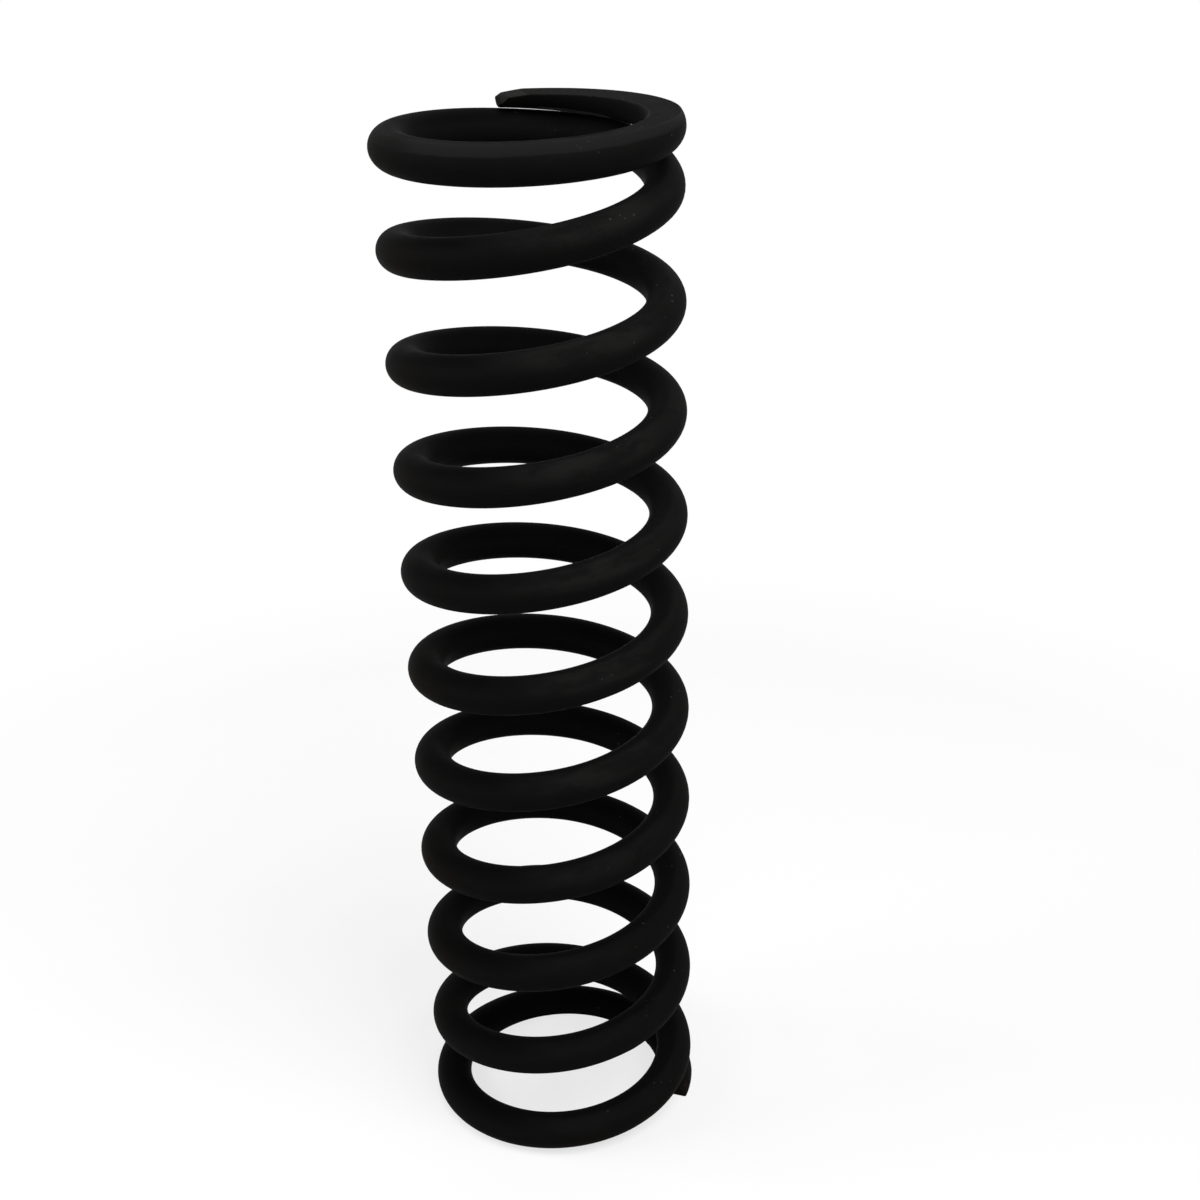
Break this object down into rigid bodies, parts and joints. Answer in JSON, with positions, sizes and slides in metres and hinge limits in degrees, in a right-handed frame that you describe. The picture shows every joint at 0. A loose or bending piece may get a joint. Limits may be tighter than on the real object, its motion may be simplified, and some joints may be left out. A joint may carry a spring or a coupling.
{
  "type": "compression spring",
  "caption": "Right-hand coiled round-wire compression spring of a tensioner, both end turns closed and ground flat, in matte black.",
  "frame": {"origin": "centre of the lower ground face, on the coil's axis, where the spring stands", "axes": "+Z along the coil's axis, up; -Y towards the side that the picture shows, so +X is to its right. The lower wire tip is at 21 degrees from +X towards -Y and the upper one at 103 degrees from +X towards +Y"},
  "size_m": [0.0457, 0.0457, 0.168],
  "materials": {
    "black_coating": "matte black coating with fine grain, a little lighter on the ground end faces"
  },
  "bodies": {
    "root": {"coil_spring": "black_coating"}
  },
  "joints": []
}
